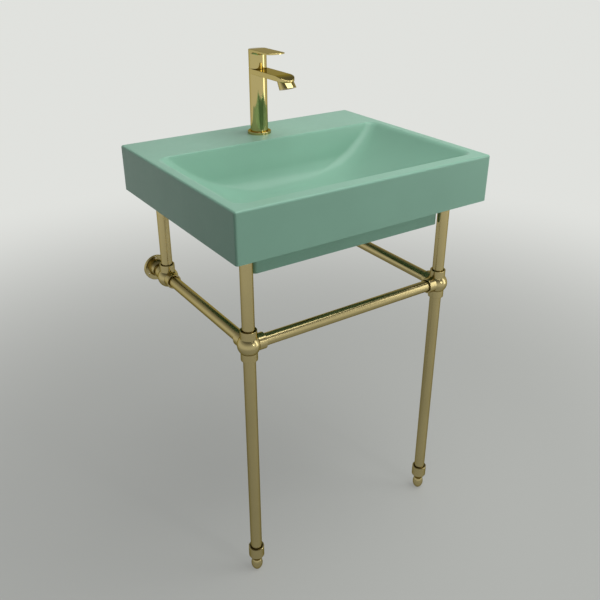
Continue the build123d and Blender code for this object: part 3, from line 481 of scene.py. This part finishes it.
def spaced(stops):
    """Places along a line from (place, step) stops: each stretch is cut evenly into about its step."""
    places = [stops[0][0]]
    for (start, step), following in zip(stops, stops[1:]):
        end = following[0]
        count = max(1, round((end - start) / step))
        places += [start + (end - start) * index / count for index in range(1, count + 1)]
    return places


def field_solid(xs, ys, height, bottom):
    """A closed solid below a height field, with upright walls and a flat foot."""
    mesh = bmesh.new()
    rows = [[mesh.verts.new((x, y, height(x, y))) for x in xs] for y in ys]
    for low, high in zip(rows, rows[1:]):
        for index in range(len(xs) - 1):
            mesh.faces.new((low[index], low[index + 1], high[index + 1], high[index]))
    loop = rows[0][:-1] + [row[-1] for row in rows[:-1]]
    loop += rows[-1][:0:-1] + [row[0] for row in rows[:0:-1]]
    foot = [mesh.verts.new((vertex.co.x, vertex.co.y, bottom)) for vertex in loop]
    count = len(loop)
    for index in range(count):
        following = (index + 1) % count
        mesh.faces.new((loop[index], foot[index], foot[following], loop[following]))
    mesh.faces.new(list(reversed(foot)))
    mesh.normal_update()
    return mesh


def prism(outline, low, high):
    """A closed upright prism over a plan outline."""
    mesh = bmesh.new()
    base = [mesh.verts.new((x, y, low)) for x, y in outline]
    cap = [mesh.verts.new((x, y, high)) for x, y in outline]
    mesh.faces.new(list(reversed(base)))
    mesh.faces.new(cap)
    count = len(outline)
    for index in range(count):
        following = (index + 1) % count
        mesh.faces.new((base[index], base[following], cap[following], cap[index]))
    return mesh


def circle(radius, y, count=96):
    """A round plan outline on the centre line."""
    turns = [2 * pi * index / count for index in range(count)]
    return [(radius * cos(turn), y + radius * sin(turn)) for turn in turns]


def as_object(name, mesh):
    """An object in metres, at its place in the shared frame, from a mesh in millimetres below the rim."""
    mesh.transform(Matrix.Scale(MM, 4) @ Matrix.Translation((0.0, 0.0, RIM)))
    data = bpy.data.meshes.new(name)
    mesh.to_mesh(data)
    mesh.free()
    piece = bpy.data.objects.new(name, data)
    bpy.context.scene.collection.objects.link(piece)
    return piece


def cut(piece, cutter):
    """Takes one closed piece out of another for good."""
    step = piece.modifiers.new("cut", "BOOLEAN")
    step.operation = "DIFFERENCE"
    step.solver = "EXACT"
    step.object = cutter
    bpy.context.view_layer.update()
    graph = bpy.context.evaluated_depsgraph_get()
    result = bpy.data.meshes.new_from_object(piece.evaluated_get(graph))
    piece.modifiers.clear()
    piece.data = result
    bpy.data.objects.remove(cutter)


def round_edges(mesh):
    """Rounds the apron's upper edges and its four uprights."""
    sharp = []
    for edge in mesh.edges:
        ends = [vertex.co for vertex in edge.verts]
        on_rim = all(abs(end.z) < TOUCH for end in ends)
        at_side = all(abs(abs(end.x) - HALF_WIDTH) < TOUCH for end in ends)
        at_end = all(min(abs(end.y - FRONT), abs(end.y - BACK)) < TOUCH for end in ends)
        upright = abs(ends[0].z - ends[1].z) > APRON
        if ((on_rim and (at_side or at_end)) or upright) and edge.calc_face_angle(0.0) > 1.0:
            sharp.append(edge)
    bmesh.ops.bevel(mesh, geom=sharp, offset=EDGE_RADIUS, segments=EDGE_SEGMENTS, profile=0.5,
                    affect="EDGES", clamp_overlap=True)


def bowl_block():
    """The apron's block, down to the skirt's foot, with the bowl and its soft lip in the top."""
    right = spaced([(0.0, 8.0), (40.0, 4.0), (200.0, 2.5), (BOWL_HALF - 12, 1.2), (BOWL_HALF + 6, 2.5),
                    (HALF_WIDTH - 9, 9.0), (HALF_WIDTH, 1.0)])
    xs = [-x for x in right[:0:-1]] + right
    ys = spaced([(FRONT, 9.0), (FRONT + 9, 2.5), (BOWL_FRONT - 5, 0.9), (BOWL_FRONT + 24, 2.0),
                 (BOWL_FRONT + 60, 5.0), (BOWL_BACK - 60, 2.0), (BOWL_BACK - 24, 0.9),
                 (BOWL_BACK + 6, 2.0), (BOWL_BACK + 16, 7.0), (BACK - 9, 9.0), (BACK, 1.0)])
    mesh = field_solid(xs, ys, top_height, -BODY_DEPTH)
    round_edges(mesh)
    return as_object("basin", mesh)


def skirt_surround(far):
    """The plan of all that lies outside the skirt's front and sides, with its round front corners."""
    centre_x = SKIRT_HALF - SKIRT_CORNER
    centre_y = SKIRT_FRONT + SKIRT_CORNER
    right_corner = []
    for index in range(SKIRT_CORNER_STEPS + 1):
        turn = pi / 2 * index / SKIRT_CORNER_STEPS
        right_corner.append((centre_x + SKIRT_CORNER * cos(turn), centre_y - SKIRT_CORNER * sin(turn)))
    left_corner = [(-x, y) for x, y in reversed(right_corner)]
    surround = [(-far, -far), (far, -far), (far, far), (SKIRT_HALF, far)] + right_corner
    return surround + left_corner + [(-SKIRT_HALF, far), (-far, far)]


def hollow(far):
    """The hollow underside between the skirt's walls."""
    inner_half = SKIRT_HALF - SHELL
    xs = spaced([(-inner_half, 8.0), (inner_half, 8.0)])
    ys = spaced([(SKIRT_FRONT + SHELL, 6.0), (BACK - SHELL, 6.0)])
    return field_solid(xs, ys, cavity_height, -far)


def basin(glaze):
    """The ceramic body with its bowl, soft lip, lower skirt, hollow underside and holes."""
    body = bowl_block()
    far = 2 * HALF_WIDTH
    recess_floor = -BOWL_DEPTH - DRAIN_RECESS_DEPTH
    cut(body, as_object("surround", prism(skirt_surround(far), -far, -APRON)))
    cut(body, as_object("cavity", hollow(far)))
    cut(body, as_object("recess", prism(circle(DRAIN_RECESS, DRAIN_Y), recess_floor, BETWEEN)))
    cut(body, as_object("drain", prism(circle(DRAIN_HOLE, DRAIN_Y), -far, BETWEEN)))
    cut(body, as_object("tap_hole", prism(circle(TAP_HOLE, TAP_Y), BETWEEN, ABOVE)))
    for side in (-1, 1):
        hole = prism(circle(HANGER_HOLE, 0.0), -1.0, SHELL + 1.0)
        place = Matrix.Translation((side * HANGER_HALF, BACK, -HANGER_DEPTH))
        hole.transform(place @ Matrix.Rotation(radians(90), 4, "X"))
        cut(body, as_object("hanger_hole", hole))
    data = body.data
    data.shade_smooth()
    data.set_sharp_from_angle(angle=radians(40))
    even = body.modifiers.new("even_shading", "WEIGHTED_NORMAL")
    even.keep_sharp = True
    data.materials.clear()
    data.materials.append(glaze)
    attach(body, "basin_and_stand")
    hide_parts("basin_body")


camera()
floor_stage()
world_light()
area_light("overhead", (0.4, -0.45, 2.6), (0.0, 0.0, 0.85), (1.9, 1.6), 30.0)
area_light("window", (2.4, -1.9, 1.35), (0.0, 0.0, 0.75), (1.1, 2.5), 18.0)
area_light("front", (0.69, -2.8, 1.5), (0.1, 0.0, 0.85), (0.3, 0.6), 6.0)
finishes = dress_nodes()
basin(finishes["basin_glaze"])

bpy.context.scene.view_settings.view_transform = "Standard"
